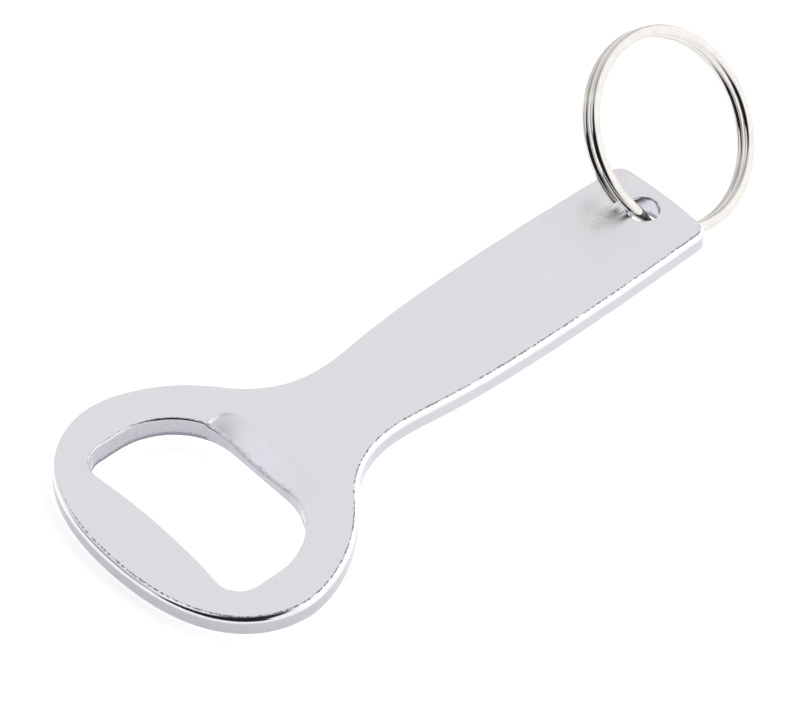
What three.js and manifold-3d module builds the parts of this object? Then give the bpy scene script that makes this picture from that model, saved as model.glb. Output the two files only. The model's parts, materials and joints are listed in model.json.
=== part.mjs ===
// Key-ring bottle opener: one stamped aluminium plate and one steel split ring.
// Millimetres. X runs from the head to the tail, Y to the left, Z up.
// Z = 0 is the underside of the plate, and the origin lies on the middle line of the handle.

import * as THREE from 'three';
import { mergeVertices } from 'three/addons/utils/BufferGeometryUtils.js';
import Module from 'manifold-3d';

const wasm = await Module();
wasm.setup();

const DEG = Math.PI / 180;

// ---- plate: overall sizes -------------------------------------------------------------------

const plateLength = 93.1;
const plateThickness = 3.1;
const edgeRound = 0.75;        // tumbled round on the outer edges
const noseToOrigin = 52.3;     // the origin, measured back from the head's nose

// ---- plate: cap opening and the rim of metal around it ---------------------------------------

const openingWidth = 29.9;
const openingLength = 15.6;
const openingBow = 0.7;        // the edge that rests on the cap bows in this far at its middle
const lipCorner = 10;          // large corners beside the lip
const widestFromLip = 9.8;     // the head is widest this far ahead of the lip
const noseCorner = 3.4;        // small corners on the head side
const openingBreak = 0.3;      // broken edge all round the opening
const headBar = 8.1;           // metal between the nose and the opening
const sideBar = 6.25;          // metal on each side of the opening

// ---- plate: lip, thinned by a wedge pressed into the top face --------------------------------

const lipThickness = 1.0;       // at its middle
const rampLength = 3.4;
const rampWidth = 18.1;
const rampCorner = 2.4;
const rampEnd = 0.21;          // the wedge is dished: this share of its depth is left at its ends

// ---- plate: shoulders, waist, grip and tail ---------------------------------------------------

const lipToShoulder = 4.7;     // from the lip to the steepest place of the shoulder
const shoulderWidth = 26.2;
const shoulderSlope = 1.19;    // how fast the half width falls there
const shoulderToWaist = 11.5;
const waistWidth = 14.3;
const gripWidth = 17.6;
const gripToTail = 22.8;       // from the widest place of the grip to the tail
const tailWidth = 16.8;
const tailBulge = 0.25;
const tailCorner = 2.3;

// ---- split ring --------------------------------------------------------------------------------

const ringDiameter = 27.8;
const wireWidth = 1.6;         // across the wire, in the plane of the ring
const wireHeight = 1.25;       // one turn, along the ring's axis
const wireRound = 0.5;         // of the wire's four edges, as far as the wire has room for it
const turnGap = 0.08;
const wireEndGap = 0.3;        // from each cut end of the wire to the nearest face of the plate
const crossoverHalf = 9 * DEG;   // half of the stretch where the wire steps to the other turn

// How the ring lies in its hole: turned about the hole's axis, then tipped up from flat.
const ringTurn = 11.8 * DEG;
const ringTip = 48.2 * DEG;
const passAngle = -153.7 * DEG;   // the place on the ring that is in the hole
const crossoverLead = 2.8 * DEG;  // the crossover sits this far round from that place
const ringShift = 0.28;           // the two turns' middle, off the hole's centre along the ring's axis

const wireEdge = Math.min(wireRound, 0.45 * wireHeight, 0.45 * wireWidth);
const ringRadius = (ringDiameter - wireWidth) / 2;   // to the middle of the wire
const turnStep = wireHeight + turnGap;
const wireRise = wireWidth / 2 * Math.abs(Math.sin(passAngle)) * Math.sin(ringTip)
  + (turnStep + wireHeight) / 2 * Math.cos(ringTip);

// The place on the ring, beside the hole, that lies at a height over the middle of the plate.
function angleAtHeight(height) {
  return -Math.PI - Math.asin(Math.sin(passAngle) + height / (ringRadius * Math.sin(ringTip)));
}

const crossover = passAngle + crossoverLead;
const upperTurnStart = angleAtHeight(-(plateThickness / 2 + wireRise + wireEndGap)) - 2 * Math.PI;
const lowerTurnEnd = angleAtHeight(plateThickness / 2 + wireRise + wireEndGap) + 2 * Math.PI;

// ---- hole for the ring: worked out from the wire, its tilt and the plate -----------------------

const holeRim = 0.4;           // rounding of both rims
const holeClearance = 0.1;     // around the wire where it passes closest to the rims
const tailWall = 2.25;         // metal between the hole and the tail

const wireTilt = Math.acos(Math.abs(Math.cos(passAngle)) * Math.sin(ringTip));
const crossoverTilt = Math.atan(turnStep / (2 * crossoverHalf * ringRadius)) * 2 / 3;
const tiltInHole = wireTilt - crossoverTilt;
const wireBow = (plateThickness / Math.cos(wireTilt)) ** 2 / (8 * ringRadius);
const cornerLoss = wireEdge * 0.68;   // what the wire's rounded corners take off, seen edge on
const wireAcross = (wireHeight * Math.cos(ringTip)
  + wireWidth * Math.abs(Math.sin(passAngle)) * Math.sin(ringTip)) / Math.sin(wireTilt)
  - cornerLoss + wireBow;
const wireReach = holeRim + wireAcross / 2 + (plateThickness / 2 - holeRim) * Math.sin(tiltInHole);
const holeRadius = wireReach / Math.cos(tiltInHole) - holeRim + holeClearance;

// ---- places along the plate --------------------------------------------------------------------

const noseX = -noseToOrigin;
const tailX = plateLength - noseToOrigin;
const openingStartX = noseX + headBar;
const lipX = openingStartX + openingLength;
const headWidestX = lipX - widestFromLip;
const shoulderX = lipX + lipToShoulder;
const waistX = shoulderX + shoulderToWaist;
const gripX = tailX - gripToTail;
const holeX = tailX - tailWall - holeRadius;

const through = plateThickness + 4;   // length of a cutter that runs past both faces

// ---- helpers -----------------------------------------------------------------------------------

function solidFrom(geometry) {
  const bare = geometry.clone();
  bare.deleteAttribute('normal');
  bare.deleteAttribute('uv');
  const merged = mergeVertices(bare, 1e-4);
  const vertProperties = new Float32Array(merged.attributes.position.array);
  const triVerts = new Uint32Array(merged.index.array);
  return new wasm.Manifold(new wasm.Mesh({ numProp: 3, vertProperties, triVerts }));
}

function geometryFrom(solid) {
  const mesh = solid.getMesh();
  const geometry = new THREE.BufferGeometry();
  geometry.setAttribute('position', new THREE.BufferAttribute(new Float32Array(mesh.vertProperties), 3));
  geometry.setIndex(new THREE.BufferAttribute(new Uint32Array(mesh.triVerts), 1));
  geometry.computeVertexNormals();
  return geometry;
}

// A shape that is the same on both sides of the X axis, from its left half.
function mirroredShape(halfPath, steps) {
  const left = halfPath.getPoints(steps);
  const right = left.slice(1, -1).reverse().map((p) => new THREE.Vector2(p.x, -p.y));
  return new THREE.Shape([...left, ...right].reverse());
}

function prism(shape, bottom, height) {
  const geometry = new THREE.ExtrudeGeometry(shape, { depth: height, bevelEnabled: false });
  geometry.translate(0, 0, bottom);
  return geometry;
}

// ---- opener body -------------------------------------------------------------------------------

// How far the handles of each curve of the outline reach: the first at the curve's start, the second
// at its end, as a share of the stretch that the curve shapes.
const handles = {
  nose: [0.888, 0.275],
  neck: [0.064, 0.447],
  shoulder: [0.063, 0.642],
  palm: [0.192, 0.76],
  taper: [0.45, 0.22],
};

function outlineShape() {
  const head = openingWidth / 2 + sideBar;
  const shoulder = shoulderWidth / 2;
  const waist = waistWidth / 2;
  const grip = gripWidth / 2;
  const tail = tailWidth / 2;
  const noseRun = headWidestX - noseX;
  const neckRun = shoulderX - headWidestX;
  const waistRun = waistX - shoulderX;
  const palmRun = gripX - waistX;
  const cornerX = tailX - tailBulge - tailCorner;
  const taperRun = cornerX - gripX;
  const path = new THREE.Path();
  path.moveTo(noseX, 0);
  path.bezierCurveTo(
    noseX, head * handles.nose[0],
    headWidestX - noseRun * handles.nose[1], head,
    headWidestX, head,
  );
  path.bezierCurveTo(
    headWidestX + neckRun * handles.neck[0], head,
    shoulderX - neckRun * handles.neck[1], shoulder + shoulderSlope * neckRun * handles.neck[1],
    shoulderX, shoulder,
  );
  path.bezierCurveTo(
    shoulderX + waistRun * handles.shoulder[0], shoulder - shoulderSlope * waistRun * handles.shoulder[0],
    waistX - waistRun * handles.shoulder[1], waist,
    waistX, waist,
  );
  path.bezierCurveTo(
    waistX + palmRun * handles.palm[0], waist,
    gripX - palmRun * handles.palm[1], grip,
    gripX, grip,
  );
  path.bezierCurveTo(
    gripX + taperRun * handles.taper[0], grip,
    cornerX - taperRun * handles.taper[1], tail + (grip - tail) * handles.taper[1],
    cornerX, tail,
  );
  path.absarc(cornerX, tail - tailCorner, tailCorner, Math.PI / 2, 0, true);
  path.quadraticCurveTo(tailX, (tail - tailCorner) / 2, tailX, 0);
  return mirroredShape(path, 12);
}

function openingShape() {
  const half = openingWidth / 2;
  const edgeX = openingStartX - openingBow;
  const path = new THREE.Path();
  path.moveTo(openingStartX, 0);
  path.quadraticCurveTo(openingStartX, (half - noseCorner) * 0.5, edgeX, half - noseCorner);
  path.absarc(edgeX + noseCorner, half - noseCorner, noseCorner, Math.PI, Math.PI / 2, true);
  path.absarc(lipX - lipCorner, half - lipCorner, lipCorner, Math.PI / 2, 0, true);
  path.lineTo(lipX, 0);
  return mirroredShape(path, 10);
}

// The opening's cutter, wider at both faces so that its edges come out broken.
function openingCutter() {
  const shape = openingShape();
  const flare = {
    depth: 2, bevelThickness: openingBreak, bevelSize: openingBreak, bevelSegments: 1,
  };
  const upper = new THREE.ExtrudeGeometry(shape, flare);
  upper.translate(0, 0, plateThickness);
  const lower = new THREE.ExtrudeGeometry(shape, flare);
  lower.translate(0, 0, -flare.depth);
  return solidFrom(prism(shape, -2, through)).add(solidFrom(upper)).add(solidFrom(lower));
}

// The wedge over the lip: deepest at the opening, running out to nothing behind it.
function rampCutter() {
  const slope = (plateThickness - lipThickness) / rampLength;
  const over = 3;
  const back = lipX + rampLength;
  const half = rampWidth / 2;
  const above = plateThickness + slope * over + 1;

  // The wedge is pressed with a barrelled punch: deepest at the middle, shallow at both ends.
  const wedge = new THREE.BoxGeometry(rampLength + 2 * over, rampWidth + 1, 1, 1, 48, 1);
  wedge.translate(lipX + rampLength / 2, 0, 0);
  const at = wedge.attributes.position;
  for (let i = 0; i < at.count; i += 1) {
    const share = 1 - (1 - rampEnd) * (at.getY(i) / half) ** 2;
    const bottom = plateThickness - slope * share * (back - at.getX(i));
    at.setZ(i, at.getZ(i) < 0 ? bottom : above);
  }

  const plan = new THREE.Path();
  plan.moveTo(lipX - over, 0);
  plan.lineTo(lipX - over, half);
  plan.lineTo(back - rampCorner, half);
  plan.absarc(back - rampCorner, half - rampCorner, rampCorner, Math.PI / 2, 0, true);
  plan.lineTo(back, 0);
  return solidFrom(wedge)
    .intersect(solidFrom(prism(mirroredShape(plan, 8), -2, through + 2)));
}

function holeCutter() {
  const rimSteps = 6;
  const flareRadius = holeRadius + holeRim;
  const profile = [new THREE.Vector2(0, -2), new THREE.Vector2(flareRadius, -2)];
  for (let i = 0; i <= rimSteps; i += 1) {
    const a = (i / rimSteps) * Math.PI / 2;
    profile.push(new THREE.Vector2(flareRadius - holeRim * Math.sin(a), holeRim - holeRim * Math.cos(a)));
  }
  for (let i = rimSteps; i >= 0; i -= 1) {
    const a = (i / rimSteps) * Math.PI / 2;
    const height = plateThickness - holeRim + holeRim * Math.cos(a);
    profile.push(new THREE.Vector2(flareRadius - holeRim * Math.sin(a), height));
  }
  profile.push(new THREE.Vector2(flareRadius, plateThickness + 2), new THREE.Vector2(0, plateThickness + 2));
  const geometry = new THREE.LatheGeometry(profile, 48);
  geometry.rotateX(Math.PI / 2);
  geometry.translate(holeX, 0, 0);
  return solidFrom(geometry);
}

function openerBody() {
  const plate = new THREE.ExtrudeGeometry(outlineShape(), {
    depth: plateThickness - 2 * edgeRound,
    bevelThickness: edgeRound,
    bevelSize: edgeRound,
    bevelOffset: -edgeRound,
    bevelSegments: 4,
  });
  plate.translate(0, 0, edgeRound);
  const solid = solidFrom(plate)
    .subtract(openingCutter())
    .subtract(rampCutter())
    .subtract(holeCutter());
  const material = new THREE.MeshStandardMaterial({ color: 0xdddce2, metalness: 1, roughness: 0.38 });
  const mesh = new THREE.Mesh(geometryFrom(solid), material);
  mesh.name = 'opener_body';
  return mesh;
}

// ---- split ring --------------------------------------------------------------------------------

// Middle line of the wire: nearly two turns round Z, with a smooth step from the upper turn to the
// lower one at the crossover.
class SplitRingPath extends THREE.Curve {
  getPoint(t, target = new THREE.Vector3()) {
    const angle = THREE.MathUtils.lerp(upperTurnStart, lowerTurnEnd, t);
    const across = THREE.MathUtils.smoothstep(angle, crossover - crossoverHalf, crossover + crossoverHalf);
    const height = turnStep * (0.5 - across);
    return target.set(ringRadius * Math.cos(angle), ringRadius * Math.sin(angle), height);
  }
}

// Section of the wire: x is along the ring's axis, y across the wire.
function wireSection() {
  const x = wireHeight / 2 - wireEdge;
  const y = wireWidth / 2 - wireEdge;
  const shape = new THREE.Shape();
  shape.absarc(x, y, wireEdge, 0, Math.PI / 2);
  shape.absarc(-x, y, wireEdge, Math.PI / 2, Math.PI);
  shape.absarc(-x, -y, wireEdge, Math.PI, 1.5 * Math.PI);
  shape.absarc(x, -y, wireEdge, 1.5 * Math.PI, 2 * Math.PI);
  return shape;
}

function splitRing() {
  const path = new SplitRingPath();
  path.arcLengthDivisions = 800;
  const geometry = new THREE.ExtrudeGeometry(wireSection(), {
    steps: 168, extrudePath: path, curveSegments: 2,
  });
  const material = new THREE.MeshStandardMaterial({ color: 0xc8c4be, metalness: 1, roughness: 0.16 });
  const mesh = new THREE.Mesh(geometry, material);
  mesh.name = 'split_ring';
  mesh.position.set(-ringRadius * Math.cos(passAngle), -ringRadius * Math.sin(passAngle), -ringShift);
  return mesh;
}

// ---- assembly ----------------------------------------------------------------------------------

const opener = new THREE.Group();
opener.add(openerBody());

const ringInHole = new THREE.Group();
ringInHole.position.set(holeX, 0, plateThickness / 2);
ringInHole.rotation.set(ringTip, 0, ringTurn, 'ZXY');
ringInHole.add(splitRing());
opener.add(ringInHole);

export default opener;
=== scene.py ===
import json
import math

import bpy
import numpy as np
from mathutils import Matrix, Vector, noise
from mathutils.geometry import delaunay_2d_cdt


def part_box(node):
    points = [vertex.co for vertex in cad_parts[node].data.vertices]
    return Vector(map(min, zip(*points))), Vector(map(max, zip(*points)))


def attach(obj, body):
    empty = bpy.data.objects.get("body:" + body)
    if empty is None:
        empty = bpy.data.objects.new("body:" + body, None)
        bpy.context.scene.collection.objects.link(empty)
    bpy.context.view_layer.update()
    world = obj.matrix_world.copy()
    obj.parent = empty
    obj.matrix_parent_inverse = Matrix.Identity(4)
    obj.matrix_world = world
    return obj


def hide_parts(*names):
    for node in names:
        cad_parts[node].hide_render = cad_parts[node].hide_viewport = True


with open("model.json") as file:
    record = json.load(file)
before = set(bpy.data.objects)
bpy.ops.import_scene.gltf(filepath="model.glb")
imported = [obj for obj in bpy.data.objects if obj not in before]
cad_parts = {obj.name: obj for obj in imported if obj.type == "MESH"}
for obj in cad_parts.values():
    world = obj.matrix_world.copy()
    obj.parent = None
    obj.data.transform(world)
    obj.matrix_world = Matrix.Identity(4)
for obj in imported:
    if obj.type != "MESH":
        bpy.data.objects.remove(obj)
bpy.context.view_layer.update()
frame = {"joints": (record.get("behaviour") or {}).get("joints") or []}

# ---------------------------------------------------------------------------------------------
# Opener body: one plate of aluminium, stamped from flat sheet, with the wedge over the lip
# pressed in. The blank is tumbled, which rounds its outer edges, and the face is left satin.
# ---------------------------------------------------------------------------------------------

MM = 0.001
plate_low, plate_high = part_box("opener_body")
thickness = plate_high.z - plate_low.z
nose_x = plate_low.x
tail_x = plate_high.x
head_half = plate_high.y

edge_round = 0.75 * MM
opening_half = 14.95 * MM
opening_start = nose_x + 8.1 * MM
opening_length = 15.6 * MM
lip_x = opening_start + opening_length
lip_thickness = 1.0 * MM    # at its middle
ramp_length = 3.4 * MM
ramp_half = 9.05 * MM
ramp_corner = 2.4 * MM
ramp_end = 0.1              # the wedge is dished: this share of its depth is left at its ends


def bezier(a, b, c, d, count):
    """Points along a cubic curve, without its last one."""
    t = np.linspace(0, 1, count, endpoint=False)[:, None]
    a, b, c, d = (np.array(p, float) for p in (a, b, c, d))
    return (1 - t) ** 3 * a + 3 * (1 - t) ** 2 * t * b + 3 * (1 - t) * t**2 * c + t**3 * d


def arc(centre, radius, start, end, count):
    """Points along an arc between two angles in degrees, without its last one."""
    angle = np.radians(np.linspace(start, end, count, endpoint=False))
    return np.array(centre) + radius * np.c_[np.cos(angle), np.sin(angle)]


def closed_from_half(half, step):
    """The whole outline from its left half, walked anticlockwise at an even step."""
    right = half[1:-1][::-1] * [1, -1]
    loop = np.vstack([half, right])[::-1]
    ends = np.vstack([loop, loop[:1]])
    length = np.r_[0, np.cumsum(np.hypot(*np.diff(ends, axis=0).T))]
    count = int(round(length[-1] / step / 2)) * 2
    at = np.linspace(0, length[-1], count, endpoint=False)
    return np.c_[np.interp(at, length, ends[:, 0]), np.interp(at, length, ends[:, 1])]


def side_normals(loop):
    """The direction to the right of travel at each point of a closed outline."""
    ahead = np.roll(loop, -1, 0) - np.roll(loop, 1, 0)
    ahead /= np.hypot(*ahead.T)[:, None]
    return np.c_[ahead[:, 1], -ahead[:, 0]]


def plate_outline():
    shoulder_x, shoulder, slope = lip_x + 4.7 * MM, 13.1 * MM, 1.19
    widest_x = lip_x - 9.8 * MM
    waist_x, waist = shoulder_x + 11.5 * MM, 7.15 * MM
    grip_x, grip = tail_x - 22.8 * MM, 8.8 * MM
    tail, bulge, corner = 8.4 * MM, 0.25 * MM, 2.3 * MM
    corner_x = tail_x - bulge - corner
    nose_run = widest_x - nose_x
    neck_run = shoulder_x - widest_x
    waist_run = waist_x - shoulder_x
    palm_run = grip_x - waist_x
    taper_run = corner_x - grip_x
    half = np.vstack([
        bezier((nose_x, 0), (nose_x, head_half * 0.888),
               (widest_x - nose_run * 0.275, head_half), (widest_x, head_half), 200),
        bezier((widest_x, head_half), (widest_x + neck_run * 0.064, head_half),
               (shoulder_x - neck_run * 0.447, shoulder + slope * neck_run * 0.447),
               (shoulder_x, shoulder), 200),
        bezier((shoulder_x, shoulder),
               (shoulder_x + waist_run * 0.063, shoulder - slope * waist_run * 0.063),
               (waist_x - waist_run * 0.642, waist), (waist_x, waist), 200),
        bezier((waist_x, waist), (waist_x + palm_run * 0.192, waist),
               (grip_x - palm_run * 0.76, grip), (grip_x, grip), 200),
        bezier((grip_x, grip), (grip_x + taper_run * 0.45, grip),
               (corner_x - taper_run * 0.22, tail + (grip - tail) * 0.22), (corner_x, tail), 200),
        arc((corner_x, tail - corner), corner, 90, 0, 60),
        bezier((corner_x + corner, tail - corner), (tail_x - bulge / 3, (tail - corner) * 2 / 3),
               (tail_x, (tail - corner) / 3), (tail_x, 0), 80),
        [(tail_x, 0)],
    ])
    return closed_from_half(half, 0.3 * MM)


def opening_outline():
    bow, nose_corner, lip_corner = 0.7 * MM, 3.4 * MM, 10 * MM
    edge_x = opening_start - bow
    straight = opening_half - nose_corner
    half = np.vstack([
        bezier((opening_start, 0), (opening_start, straight / 3),
               (opening_start - bow / 3, straight * 2 / 3), (edge_x, straight), 80),
        arc((edge_x + nose_corner, straight), nose_corner, 180, 90, 60),
        arc((lip_x - lip_corner, opening_half - lip_corner), lip_corner, 90, 0, 120),
        [(lip_x, opening_half - lip_corner), (lip_x, 0)],
    ])
    return closed_from_half(half, 0.2 * MM)


hole_x = frame["joints"][0]["pos_m"][0]
hole_radius = tail_x - 2.25 * MM - hole_x
hole_rim = 0.4 * MM


def hole_outline():
    return arc((hole_x, 0), hole_radius, 0, 360, 120)


def rough(points, size, seed, detail=3):
    """Even noise, about -1 to 1, at points of the plate: features are about size across."""
    shift = Vector((seed * 3.1, seed * 7.7, seed * 1.3))
    return np.array([noise.fractal(Vector((*p, 0, 0)[:3]) / size + shift, 1.0, 2.0, detail)
                     for p in points])


def ramp_depth(xy):
    """How far the pressed wedge lies below the face: deepest at the middle of the lip."""
    x, y = xy[:, 0], xy[:, 1]
    full = (thickness - lip_thickness) * (1 - (1 - ramp_end) * (y / ramp_half) ** 2)
    run = lip_x + ramp_length - x
    soft = 0.8 * MM
    ramp = full / ramp_length * (run + np.sqrt(run**2 + soft**2) - soft) / 2
    out_x = np.maximum(x - (lip_x + ramp_length - ramp_corner), 0)
    out_y = np.abs(y) - (ramp_half - ramp_corner)
    side = np.where(out_y > 0, np.hypot(out_x, np.maximum(out_y, 0)), out_x) - ramp_corner
    wall = (0.22 + 0.3 * np.clip((x - lip_x) / ramp_length, 0, 1)) * MM
    t = np.clip((wall - side) / (2 * wall), 0, 1)
    near_lip = x > lip_x - ramp_length
    return np.where(near_lip, np.maximum(ramp, 0) * t * t * (3 - 2 * t), 0)


class PlateMesh:
    """Points with exact normals, the faces between them, and how far each point is in each zone."""

    ZONES = ("rim", "wall", "side", "depth", "burr", "pressed")

    def __init__(self):
        self.points, self.normals, self.faces = [], [], []
        self.zones = {name: [] for name in self.ZONES}

    def add(self, points, normals, **zones):
        first = len(self.points)
        self.points += [tuple(p) for p in points]
        self.normals += [tuple(n) for n in normals]
        for name, values in self.zones.items():
            values += list(np.broadcast_to(zones.get(name, 0), len(points)).astype(float))
        return list(range(first, first + len(points)))

    def bands(self, rows):
        for upper, lower in zip(rows, rows[1:]):
            count = len(upper)
            for i in range(count):
                j = (i + 1) % count
                self.faces.append((upper[i], lower[i], lower[j], upper[j]))


def edge_rows(mesh, loop, away, top, top_round, low_round, start=0.0, wall=0.0, side=0.0, rim=1.0,
              burr=0.0, ragged=0.0):
    """Turns an outline into the edge of the plate: a round at the top, the wall and a round below.

    The top round begins at the angle start, in degrees, so the face ends in a crisp line. The burr
    along that line is kept on the edges that face mostly -Y, where its dark line is painted shade.
    The wall grows ragged towards the bottom, where the punch tore it instead of cutting it.
    """
    # Painted shade: the burr's dark line is kept only on edges facing mostly -Y.
    burr = burr * np.clip(0.55 - 1.1 * away @ np.array([0.35, 0.94]), 0, 1)
    steps, wall_rows = 10, 8
    zero = np.zeros(len(loop))
    first = math.radians(start)
    reach = top_round / (1 - math.sin(first))
    drop = reach * math.cos(first)
    border = 0.14 * MM
    face = loop - away * (top_round + border)[:, None]
    pressed = np.clip((thickness - top) / (0.1 * MM), 0, 1)
    rows = [mesh.add(np.c_[face, top], np.c_[zero, zero, zero + 1], pressed=pressed)]
    for k in range(steps + 1):
        share = k / steps
        a = first + share * (math.pi / 2 - first)
        xy = loop - away * (reach * (1 - math.sin(a)))[:, None]
        z = top - reach * (math.cos(first) - math.cos(a))
        tilt = a if k else first * 0.5
        rows.append(mesh.add(np.c_[xy, z], np.c_[away * math.sin(tilt), zero + math.cos(tilt)],
                             rim=rim * (4 * share * (1 - share)) ** 0.5, wall=wall * share,
                             depth=(top - z) / thickness, side=side * max(share * 2 - 1, 0),
                             burr=burr * max(1 - 0.4 * k, 0), pressed=pressed * (1 - share)))
    high, low = top - drop, low_round
    for k in range(1, wall_rows):
        share = k / wall_rows
        z = high + (low - high) * share
        tear = ragged * share**2 * rough(np.c_[loop, zero + 3 * k * MM], 0.35 * MM, 5)
        rows.append(mesh.add(np.c_[loop - away * np.abs(tear)[:, None], z], np.c_[away, zero], wall=wall,
                             depth=(top - z) / thickness, side=side))
    for k in range(steps + 1):
        share = k / steps
        a = math.pi / 2 * (1 + share)
        tear = ragged * (1 - share) * np.abs(rough(np.c_[loop, zero], 0.3 * MM, 6))
        xy = loop - away * (low_round * (1 - math.sin(a)) + tear)[:, None]
        z = low_round * (1 + math.cos(a))
        rows.append(mesh.add(np.c_[xy, z], np.c_[away * math.sin(a), zero + math.cos(a)],
                             rim=rim * (4 * share * (1 - share)) ** 0.5, wall=wall * (1 - share),
                             depth=(top - z) / thickness, side=side * (1 - share)))
    return rows


def inside(points, loop):
    """Which points lie inside a closed outline."""
    hit = np.zeros(len(points), bool)
    a, b = loop, np.roll(loop, -1, 0)
    for (ax, ay), (bx, by) in zip(a, b):
        crosses = (ay > points[:, 1]) != (by > points[:, 1])
        with np.errstate(divide="ignore", invalid="ignore"):
            x = ax + (points[:, 1] - ay) / (by - ay) * (bx - ax)
        hit ^= crosses & (points[:, 0] < x)
    return hit


def face_between(mesh, rows, extra, upwards):
    """Fills the flat between the outline and the openings, and drapes it over the wedge."""
    loops = [np.array([mesh.points[i][:2] for i in row]) for row in rows]
    index = [i for row in rows for i in row]
    if len(extra):
        keep = inside(extra, loops[0])
        for loop in loops[1:]:
            keep &= ~inside(extra, loop)
        near = np.array([p for loop in loops for p in loop])
        for k in np.where(keep)[0]:
            if np.min(np.hypot(*(near - extra[k]).T)) < 0.1 * MM:
                keep[k] = False
        extra = extra[keep]
        depth = ramp_depth(extra)
        e = 0.01 * MM
        dx = (ramp_depth(extra + [e, 0]) - ramp_depth(extra - [e, 0])) / (2 * e)
        dy = (ramp_depth(extra + [0, e]) - ramp_depth(extra - [0, e])) / (2 * e)
        normal = np.c_[dx, dy, np.ones(len(extra))]
        normal /= np.linalg.norm(normal, axis=1)[:, None]
        index += mesh.add(np.c_[extra, thickness - depth], normal,
                          pressed=np.clip(depth / (0.1 * MM), 0, 1))
    flat = np.vstack(loops + ([extra] if len(extra) else []))
    edges, first = [], 0
    for loop in loops:
        count = len(loop)
        edges += [(first + i, first + (i + 1) % count) for i in range(count)]
        first += count
    scale = 1000.0
    _, _, triangles, origin, _, _ = delaunay_2d_cdt([Vector(p * scale) for p in flat], edges, [], 0, 1e-7)
    triangles = np.array(triangles)
    origin = np.array([o[0] for o in origin])
    triangles = origin[triangles]
    middle = flat[triangles].mean(1)
    keep = inside(middle, loops[0])
    for loop in loops[1:]:
        keep &= ~inside(middle, loop)
    for a, b, c in triangles[keep]:
        turn = np.cross(flat[b] - flat[a], flat[c] - flat[a])
        order = (a, b, c) if (turn > 0) == upwards else (a, c, b)
        mesh.faces.append(tuple(index[k] for k in order))


def build_plate():
    mesh = PlateMesh()
    outline = plate_outline()
    opening = opening_outline()[::-1]
    hole = hole_outline()[::-1]
    full = np.full(len(outline), thickness)
    top_round = 0.75 * edge_round * (1 + 0.06 * rough(outline, 2.2 * MM, 1))
    low_round = edge_round * (1 + 0.06 * rough(outline, 2.2 * MM, 2))
    outer = edge_rows(mesh, outline, side_normals(outline), full, top_round, low_round,
                      start=22, side=1.0, burr=1.0)

    top = thickness - ramp_depth(opening)
    broken = 0.2 * MM * (1 + 0.4 * rough(opening, 0.9 * MM, 3))
    inner = edge_rows(mesh, opening, side_normals(opening), top, broken, broken * 0.8,
                      start=25, wall=1.0, rim=0.4, burr=0.8, ragged=0.07 * MM)

    top = np.full(len(hole), thickness)
    rim = 0.3 * hole_rim * (1 + 0.5 * rough(hole, 0.6 * MM, 4))
    ring_hole = edge_rows(mesh, hole, side_normals(hole), top, rim, rim,
                          start=40, wall=1.0, rim=0.2, burr=1.3, ragged=0.06 * MM)

    grid = []
    def patch(x0, x1, y0, y1, step):
        for ix in range(int((x1 - x0) / step) + 1):
            for iy in range(int((y1 - y0) / step) + 1):
                grid.append((x0 + ix * step, y0 + iy * step + (ix % 2) * step / 2))
    patch(lip_x - 2 * MM, lip_x + 4.6 * MM, -ramp_half + 0.6 * MM, ramp_half - 0.6 * MM, 0.35 * MM)
    for side in (-1, 1):
        middle = side * ramp_half
        patch(lip_x - 2 * MM, lip_x + 4.6 * MM, middle - 0.5 * MM, middle + 0.4 * MM, 0.08 * MM)
        patch(lip_x + 0.8 * MM, lip_x + 3.9 * MM, middle - side * 1.4 * MM - 0.9 * MM,
              middle - side * 1.4 * MM + 0.9 * MM, 0.12 * MM)
    patch(nose_x, tail_x, -head_half, head_half, 2.6 * MM)
    face_between(mesh, [outer[0], inner[0], ring_hole[0]], np.unique(np.round(grid, 7), axis=0), True)
    face_between(mesh, [outer[-1], inner[-1], ring_hole[-1]], np.zeros((0, 2)), False)
    mesh.bands(outer)
    mesh.bands(inner)
    mesh.bands(ring_hole)

    data = bpy.data.meshes.new("opener_plate")
    data.from_pydata(mesh.points, [], mesh.faces)
    data.polygons.foreach_set("use_smooth", [True] * len(data.polygons))
    for name, values in mesh.zones.items():
        data.attributes.new(name, "FLOAT", "POINT").data.foreach_set("value", values)
    data.normals_split_custom_set_from_vertices(mesh.normals)
    return data


plate = bpy.data.objects.new("opener_plate", build_plate())
bpy.context.collection.objects.link(plate)


class Nodes:
    """A short hand for building a material's nodes."""

    def __init__(self, name):
        self.material = bpy.data.materials.new(name)
        self.material.use_nodes = True
        self.tree = self.material.node_tree
        self.shader = self.tree.nodes["Principled BSDF"]

    def add(self, kind, inputs=None, **settings):
        node = self.tree.nodes.new(kind)
        for key, value in settings.items():
            setattr(node, key, value)
        for key, value in (inputs or {}).items():
            socket = node.inputs[key]
            if isinstance(value, bpy.types.NodeSocket):
                self.tree.links.new(value, socket)
            else:
                socket.default_value = value
        return node

    def math(self, operation, a, b=0.0):
        return self.add("ShaderNodeMath", {0: a, 1: b}, operation=operation).outputs[0]

    def ramp(self, factor, low, high, out_low=0.0, out_high=1.0):
        return self.add("ShaderNodeMapRange", {"Value": factor, "From Min": low, "From Max": high,
                                               "To Min": out_low, "To Max": out_high},
                        interpolation_type="SMOOTHSTEP").outputs[0]

    def place(self):
        return self.add("ShaderNodeTexCoord").outputs["Object"]

    def noise(self, place, size, detail=2.0, roughness=0.5):
        return self.add("ShaderNodeTexNoise", {"Vector": place, "Scale": 1 / size, "Detail": detail,
                                               "Roughness": roughness}).outputs["Fac"]

    def attribute(self, name):
        return self.add("ShaderNodeAttribute", attribute_name=name).outputs["Fac"]

    def bump(self, height, distance, strength=1.0, normal=None):
        inputs = {"Height": height, "Distance": distance, "Strength": strength}
        if normal is not None:
            inputs["Normal"] = normal
        return self.add("ShaderNodeBump", inputs).outputs["Normal"]

    def link(self, socket, name):
        self.tree.links.new(socket, self.shader.inputs[name])


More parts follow.
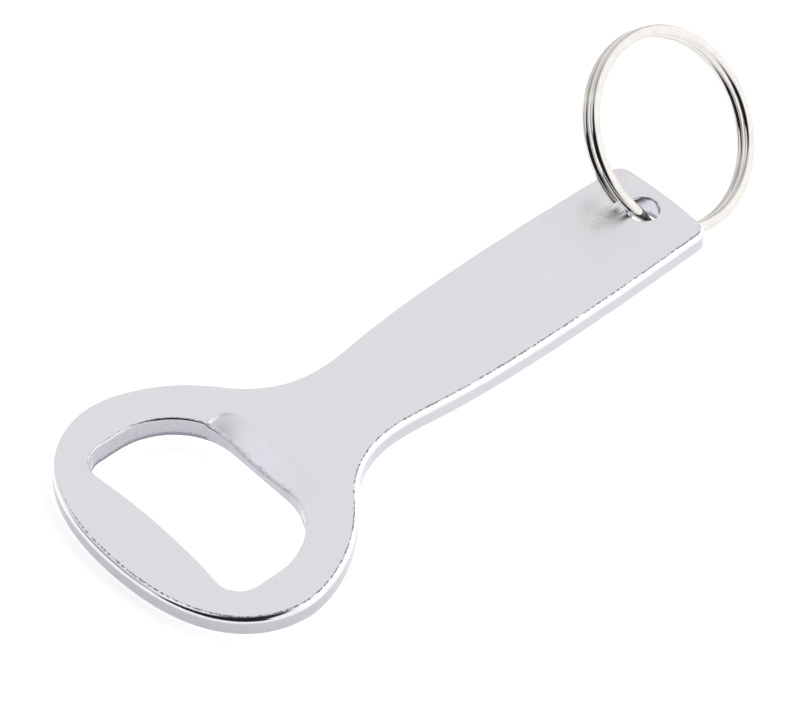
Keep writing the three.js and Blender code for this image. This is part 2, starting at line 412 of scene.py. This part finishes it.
face_shades = (0.93, 0.94, 0.985, 1), (0.95, 0.96, 1.0, 1)
wedge_shade = (0.93, 0.94, 1.0, 1)
# The bright patch beside the ring is a painted highlight.
painted_highlight_shade = (1, 1, 1, 1)
side_shade = (0.51, 0.51, 0.545, 1)
sheared_shades = (0.42, 0.42, 0.46, 1), (0.5, 0.5, 0.54, 1)
torn_shade = (0.2, 0.2, 0.23, 1)
# The dark line along the top edges: partly a real burr, partly painted shade.
burr_and_painted_shade_tone = (0.1, 0.1, 0.12, 1)
painted_highlight_place = (hole_x - 5.8 * MM, 2.2 * MM, thickness)


def satin_aluminium():
    """Tumbled and lightly polished aluminium: satin face, bright rounded edges, greyer sheared walls."""
    n = Nodes("satin_aluminium")
    place = n.place()
    rim, wall, side, depth, burr, pressed = (n.attribute(name) for name in PlateMesh.ZONES)
    cloud = n.noise(place, 6 * MM, 4, 0.6)
    mottle = n.noise(place, 0.7 * MM, 3, 0.65)
    grain = n.noise(place, 0.16 * MM, 3, 0.7)
    pits = n.add("ShaderNodeTexVoronoi", {"Vector": place, "Scale": 1 / (3.4 * MM)}).outputs["Distance"]
    pit = n.ramp(pits, 0.03, 0.06, 1.0, 0.0)

    # The sheared walls: dragged up and down by the punch, torn near the bottom, a burr on top, whose dark
    # line is partly painted shade.
    shear = n.ramp(n.math("ADD", depth, n.math("MULTIPLY", grain, 0.5)), 0.98, 1.12)
    torn = n.math("MULTIPLY", shear, wall)
    broken = n.noise(place, 0.45 * MM, 4, 0.75)
    line = n.math("MULTIPLY", n.ramp(burr, 0.25, 0.7), n.ramp(broken, 0.42, 0.56))
    streaks = n.add("ShaderNodeMapping", {"Vector": place, "Scale": (1, 1, 0.2)}).outputs[0]
    drag = n.ramp(n.noise(streaks, 0.22 * MM, 4, 0.75), 0.3, 0.7)

    # The outer side is greyest at the head, and a patch of the face beside the ring is painted bright, a
    # painted highlight.
    along = n.add("ShaderNodeSeparateXYZ", {"Vector": place}).outputs["X"]
    # Painted shade: the outer side wall is darkened more towards the head.
    head_painted_shade = n.ramp(along, nose_x, -5 * MM, 1.0, 0.78)
    away = n.add("ShaderNodeVectorMath", {0: place, 1: painted_highlight_place}, operation="DISTANCE")
    ragged = n.math("MULTIPLY", n.math("ADD", mottle, grain), 1.1 * MM)
    painted_highlight = n.ramp(n.math("ADD", away.outputs["Value"], ragged), 1.9 * MM, 4.6 * MM, 1.0, 0.0)
    painted_highlight = n.math("MULTIPLY", painted_highlight, n.ramp(mottle, 0.4, 0.6, 0.2, 0.9))

    def blend(factor, first, second):
        return n.add("ShaderNodeMix", {"Factor": factor, 6: first, 7: second}, data_type="RGBA").outputs[2]

    tone = blend(n.ramp(cloud, 0.3, 0.7), *face_shades)
    tone = blend(painted_highlight, tone, painted_highlight_shade)
    tone = blend(n.math("MULTIPLY", pressed, 0.8), tone, wedge_shade)
    tone = blend(n.math("MULTIPLY", side, head_painted_shade), tone, side_shade)
    tone = blend(n.math("MULTIPLY", wall, 0.85), tone, blend(drag, *sheared_shades))
    tone = blend(n.math("MULTIPLY", torn, 0.7), tone, torn_shade)
    tone = blend(n.math("MULTIPLY", line, 0.85), tone, burr_and_painted_shade_tone)
    n.link(tone, "Base Color")
    n.shader.inputs["Metallic"].default_value = 1.0

    hazy = n.math("MULTIPLY", n.math("MAXIMUM", pressed, painted_highlight), 0.16)
    satin = n.math("ADD", n.ramp(mottle, 0.25, 0.75, 0.2, 0.25), hazy)
    bright = n.math("MULTIPLY", n.math("MAXIMUM", rim, wall), 0.1)
    dull = n.math("MULTIPLY", n.math("MAXIMUM", torn, line), 0.3)
    n.link(n.math("ADD", n.math("SUBTRACT", satin, bright), dull), "Roughness")

    fine = n.bump(mottle, 0.003 * MM)
    pitted = n.bump(pit, -0.008 * MM, 1.0, fine)
    dragged = n.bump(n.math("MULTIPLY", drag, wall), 0.004 * MM, 1.0, pitted)
    n.link(n.bump(torn, 0.03 * MM, 1.0, dragged), "Normal")
    return n.material


plate.data.materials.append(satin_aluminium())
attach(plate, "opener")
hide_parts("opener_body")

# ---------------------------------------------------------------------------------------------
# Split ring: nearly two turns of flattened spring-steel wire, nickel plated and tumbled bright.
# It is wound through the hole, where the wire steps over from one turn to the other.
# ---------------------------------------------------------------------------------------------

ring_radius = 13.1 * MM
wire_width = 1.6 * MM
wire_height = 1.25 * MM
turn_step = 1.33 * MM
ring_tip = math.radians(48.2)
ring_turn = math.radians(11.8)
pass_angle = math.radians(-153.7)
crossover = pass_angle + math.radians(2.8)
crossover_half = math.radians(9)
ring_shift = 0.28 * MM
wire_end_gap = 0.3 * MM     # from each cut end of the wire to the nearest face of the plate
wire_fullness = 2.25        # 2 is an oval wire, more is a squarer one
path_points = 720
section_points = 36


def angle_at_height(height):
    """The place on the ring, beside the hole, at a height over the middle of the plate."""
    return -math.pi - math.asin(math.sin(pass_angle) + height / (ring_radius * math.sin(ring_tip)))


wire_rise = (wire_width / 2 * abs(math.sin(pass_angle)) * math.sin(ring_tip)
             + (turn_step + wire_height) / 2 * math.cos(ring_tip))
upper_start = angle_at_height(-(thickness / 2 + wire_rise + wire_end_gap)) - 2 * math.pi
lower_end = angle_at_height(thickness / 2 + wire_rise + wire_end_gap) + 2 * math.pi


def coil_tree(material):
    """Geometry Nodes: a line bent into the coil, with the wire's section swept along it."""
    tree = bpy.data.node_groups.new("split_ring_coil", "GeometryNodeTree")
    face = tree.interface
    sizes = {"Radius": ring_radius, "Start": upper_start, "End": lower_end, "Crossover": crossover,
             "Crossover Half": crossover_half, "Turn Step": turn_step, "Wire Width": wire_width,
             "Wire Height": wire_height, "Wire Fullness": wire_fullness}
    sockets = {}
    for name, value in sizes.items():
        sockets[name] = face.new_socket(name, in_out="INPUT", socket_type="NodeSocketFloat")
        sockets[name].default_value = value
    face.new_socket("Geometry", in_out="OUTPUT", socket_type="NodeSocketGeometry")
    new, link = tree.nodes.new, tree.links.new
    given = new("NodeGroupInput").outputs

    def maths(operation, a, b=None, c=None):
        node = new("ShaderNodeMath")
        node.operation = operation
        for k, value in enumerate((a, b, c)):
            if isinstance(value, bpy.types.NodeSocket):
                link(value, node.inputs[k])
            elif value is not None:
                node.inputs[k].default_value = value
        return node.outputs[0]

    line = new("GeometryNodeMeshLine")
    line.inputs["Count"].default_value = path_points
    curve = new("GeometryNodeMeshToCurve")
    link(line.outputs[0], curve.inputs[0])
    share = maths("DIVIDE", new("GeometryNodeInputIndex").outputs[0], path_points - 1.0)
    angle = maths("MULTIPLY_ADD", share, maths("SUBTRACT", given["End"], given["Start"]), given["Start"])
    step = new("ShaderNodeMapRange")
    step.interpolation_type = "SMOOTHSTEP"
    link(angle, step.inputs["Value"])
    link(maths("SUBTRACT", given["Crossover"], given["Crossover Half"]), step.inputs["From Min"])
    link(maths("ADD", given["Crossover"], given["Crossover Half"]), step.inputs["From Max"])
    height = maths("MULTIPLY", maths("SUBTRACT", 0.5, step.outputs[0]), given["Turn Step"])
    point = new("ShaderNodeCombineXYZ")
    link(maths("MULTIPLY", given["Radius"], maths("COSINE", angle)), point.inputs[0])
    link(maths("MULTIPLY", given["Radius"], maths("SINE", angle)), point.inputs[1])
    link(height, point.inputs[2])
    bent = new("GeometryNodeSetPosition")
    link(curve.outputs[0], bent.inputs["Geometry"])
    link(point.outputs[0], bent.inputs["Position"])
    upright = new("GeometryNodeSetCurveNormal")
    upright.mode = "Z_UP"
    link(bent.outputs[0], upright.inputs[0])
    around = new("GeometryNodeCurvePrimitiveCircle")
    around.inputs["Resolution"].default_value = section_points
    around.inputs["Radius"].default_value = 1.0
    turn = maths("MULTIPLY", new("GeometryNodeInputIndex").outputs[0], math.tau / section_points)
    power = maths("DIVIDE", 2.0, given["Wire Fullness"])
    section_point = new("ShaderNodeCombineXYZ")
    for k, (wave, size) in enumerate((("COSINE", "Wire Width"), ("SINE", "Wire Height"))):
        value = maths(wave, turn)
        full = maths("POWER", maths("ABSOLUTE", value), power)
        full = maths("MULTIPLY", full, maths("SIGN", value))
        half = maths("MULTIPLY", given[size], 0.5)
        link(maths("MULTIPLY", full, half), section_point.inputs[k])
    section = new("GeometryNodeSetPosition")
    link(around.outputs[0], section.inputs["Geometry"])
    link(section_point.outputs[0], section.inputs["Position"])
    sweep = new("GeometryNodeCurveToMesh")
    link(upright.outputs[0], sweep.inputs["Curve"])
    link(section.outputs[0], sweep.inputs["Profile Curve"])
    sweep.inputs["Fill Caps"].default_value = True
    real = new("GeometryNodeRealizeInstances")
    link(sweep.outputs[0], real.inputs[0])
    finish = new("GeometryNodeSetMaterial")
    finish.inputs["Material"].default_value = material
    link(real.outputs[0], finish.inputs["Geometry"])
    link(finish.outputs[0], new("NodeGroupOutput").inputs[0])
    return tree, sockets, sizes


def nickel_plate():
    """Bright nickel on steel wire: near mirror, with fine scuffs."""
    n = Nodes("nickel_plated_steel")
    place = n.place()
    soft = n.noise(place, 1.6 * MM, 3, 0.6)
    scuff = n.noise(place, 0.25 * MM, 4, 0.7)
    tone = n.add("ShaderNodeMix", {"Factor": n.ramp(soft, 0.3, 0.7), 6: (0.74, 0.715, 0.69, 1),
                                   7: (0.79, 0.765, 0.74, 1)}, data_type="RGBA").outputs[2]
    n.link(tone, "Base Color")
    n.shader.inputs["Metallic"].default_value = 1.0
    n.link(n.ramp(scuff, 0.35, 0.75, 0.05, 0.1), "Roughness")
    n.link(n.bump(scuff, 0.0006 * MM), "Normal")
    return n.material


def build_ring():
    material = nickel_plate()
    tree, sockets, sizes = coil_tree(material)
    seed = bpy.data.objects.new("ring_seed", bpy.data.meshes.new("ring_seed"))
    bpy.context.collection.objects.link(seed)
    modifier = seed.modifiers.new("coil", "NODES")
    modifier.node_group = tree
    for name, value in sizes.items():
        modifier[sockets[name].identifier] = value
    bpy.context.view_layer.update()
    ready = seed.evaluated_get(bpy.context.evaluated_depsgraph_get())
    mesh = bpy.data.meshes.new_from_object(ready)
    seed.modifiers.remove(modifier)
    bpy.data.objects.remove(seed)
    centre = Vector((-ring_radius * math.cos(pass_angle), -ring_radius * math.sin(pass_angle), -ring_shift))
    turned = Matrix.Rotation(ring_turn, 4, "Z") @ Matrix.Rotation(ring_tip, 4, "X")
    mesh.transform(Matrix.Translation((hole_x, 0, thickness / 2)) @ turned @ Matrix.Translation(centre))
    mesh.polygons.foreach_set("use_smooth", [True] * len(mesh.polygons))
    mesh.set_sharp_from_angle(angle=math.radians(50))
    return mesh


ring = bpy.data.objects.new("key_ring", build_ring())
bpy.context.collection.objects.link(ring)
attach(ring, "ring")
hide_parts("split_ring")

# ---------------------------------------------------------------------------------------------
# Floor, light and camera: a white table in a light tent. The opener lies on the underside of its
# head and on the lowest point of the ring, so its tail is a little off the table.
# ---------------------------------------------------------------------------------------------

table_half = 3.0
ring_foot = min((v.co for v in ring.data.vertices), key=lambda co: co.z)
head_edge = Vector((nose_x + edge_round, 0, 0))
pitch = math.atan2(-ring_foot.z, ring_foot.x - head_edge.x)
corners = [(x * table_half, y * table_half, 0) for x, y in ((-1, -1), (1, -1), (1, 1), (-1, 1))]
floor_mesh = bpy.data.meshes.new("table")
floor_mesh.from_pydata(corners, [], [(0, 1, 2, 3)])
floor = bpy.data.objects.new("table", floor_mesh)
bpy.context.collection.objects.link(floor)
floor.matrix_world = Matrix.Translation(head_edge) @ Matrix.Rotation(pitch, 4, "Y")
paper = Nodes("white_paper")
paper.shader.inputs["Base Color"].default_value = (0.93, 0.93, 0.93, 1)
paper.shader.inputs["Roughness"].default_value = 0.9
paper.shader.inputs["Emission Color"].default_value = (1, 1, 1, 1)
paper.shader.inputs["Emission Strength"].default_value = 0.55
floor_mesh.materials.append(paper.material)

camera_data = bpy.data.cameras.new("camera")
camera_data.sensor_width = 36
camera_data.lens = 211
camera_data.clip_end = 20
camera = bpy.data.objects.new("camera", camera_data)
bpy.context.collection.objects.link(camera)
azimuth = math.radians(-41.85)
elevation = math.radians(46.82)
distance = 0.5877
aim_left = 4.09 * MM
aim_up = 1.1 * MM
right = Vector((math.cos(azimuth), math.sin(azimuth), 0))
back = Vector((math.sin(azimuth) * math.cos(elevation), -math.cos(azimuth) * math.cos(elevation),
               math.sin(elevation)))
up = back.cross(right)
place = back * distance - right * aim_left + up * aim_up
camera.matrix_world = Matrix.Translation(place) @ Matrix((right, up, back)).transposed().to_4x4()
bpy.context.scene.camera = camera


def towards(azimuth, elevation):
    """A direction: degrees from +X round to +Y, and degrees above the table."""
    a, e = math.radians(azimuth), math.radians(elevation)
    return Vector((math.cos(a) * math.cos(e), math.sin(a) * math.cos(e), math.sin(e)))


def light_tent():
    """A white tent all round: a lamp behind it on the right, dimmer far wall and top, open in front."""
    world = bpy.data.worlds.new("light_tent")
    world.use_nodes = True
    tree = world.node_tree
    background = tree.nodes["Background"]
    direction = tree.nodes.new("ShaderNodeTexCoord").outputs["Generated"]
    colour = None
    panels = (
        (towards(54, 32), 46, 60, (0.765, 0.755, 0.755, 1)),
        (towards(145, 20), 8, 26, (0.42, 0.43, 0.48, 1)),
        (towards(-30, 10), 36, 54, (1.22, 1.22, 1.21, 1)),
        (towards(0, 90), 8, 26, (0.45, 0.44, 0.43, 1)),
        (towards(-152, 11), 38, 45, (0.015, 0.015, 0.02, 1)),
        (towards(-122, 50), 22, 32, (0.015, 0.015, 0.02, 1)),
    )
    for centre, inner, outer, shade in panels:
        facing = tree.nodes.new("ShaderNodeVectorMath")
        facing.operation = "DOT_PRODUCT"
        tree.links.new(direction, facing.inputs[0])
        facing.inputs[1].default_value = centre
        soft = tree.nodes.new("ShaderNodeMapRange")
        soft.interpolation_type = "SMOOTHSTEP"
        tree.links.new(facing.outputs["Value"], soft.inputs["Value"])
        soft.inputs["From Min"].default_value = math.cos(math.radians(outer))
        soft.inputs["From Max"].default_value = math.cos(math.radians(inner))
        mix = tree.nodes.new("ShaderNodeMix")
        mix.data_type = "RGBA"
        tree.links.new(soft.outputs[0], mix.inputs["Factor"])
        if colour is None:
            mix.inputs[6].default_value = (0.95, 0.95, 0.95, 1)
        else:
            tree.links.new(colour, mix.inputs[6])
        mix.inputs[7].default_value = shade
        colour = mix.outputs[2]
    tree.links.new(colour, background.inputs["Color"])
    return world


bpy.context.scene.world = light_tent()
bpy.context.scene.view_settings.view_transform = "Standard"
